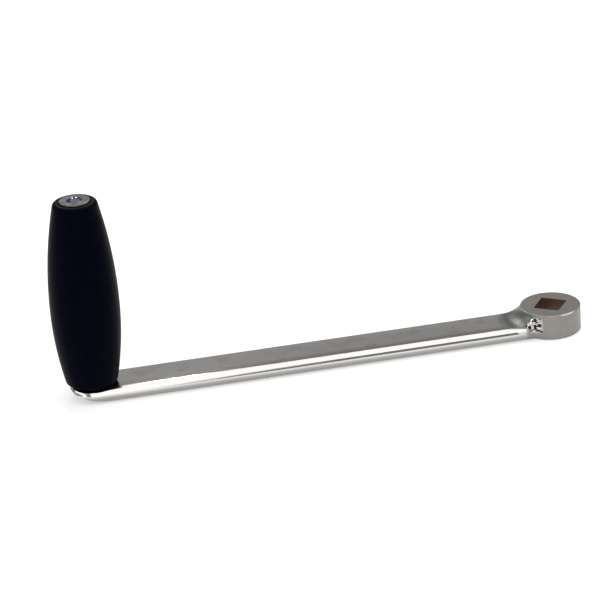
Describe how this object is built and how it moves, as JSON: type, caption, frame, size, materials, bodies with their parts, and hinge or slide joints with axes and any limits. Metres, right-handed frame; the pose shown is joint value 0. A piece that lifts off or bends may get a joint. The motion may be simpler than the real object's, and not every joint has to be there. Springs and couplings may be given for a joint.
{
  "type": "crank handle",
  "caption": "Hand crank: a plated flat arm with a square-socket eye at one end and a barrel grip that spins on a riveted spindle at the other.",
  "frame": {"origin": "on the axis of the square socket, in the flat underside of the eye", "axes": "+Z along the socket and spindle axes, from the underside towards the grip's end; the arm runs from the socket towards -X; +Y completes the right-handed frame"},
  "size_m": [0.2846, 0.0366, 0.1125],
  "materials": {
    "plated_steel": "satin plated flats with polished edges",
    "bright_steel": "turned, with a bright peened head",
    "grip_plastic": "satin moulded, near black"
  },
  "bodies": {
    "crank": {"crank_arm": "plated_steel", "spindle": "bright_steel", "thrust_washer": "bright_steel", "end_washer": "bright_steel"},
    "grip": {"grip": "grip_plastic"}
  },
  "joints": [
    {"name": "grip_spin", "type": "hinge", "parent": "crank", "child": "grip", "pos_m": [-0.25, 0, 0.06], "axis": [0, 0, 1], "continuous": true}
  ]
}
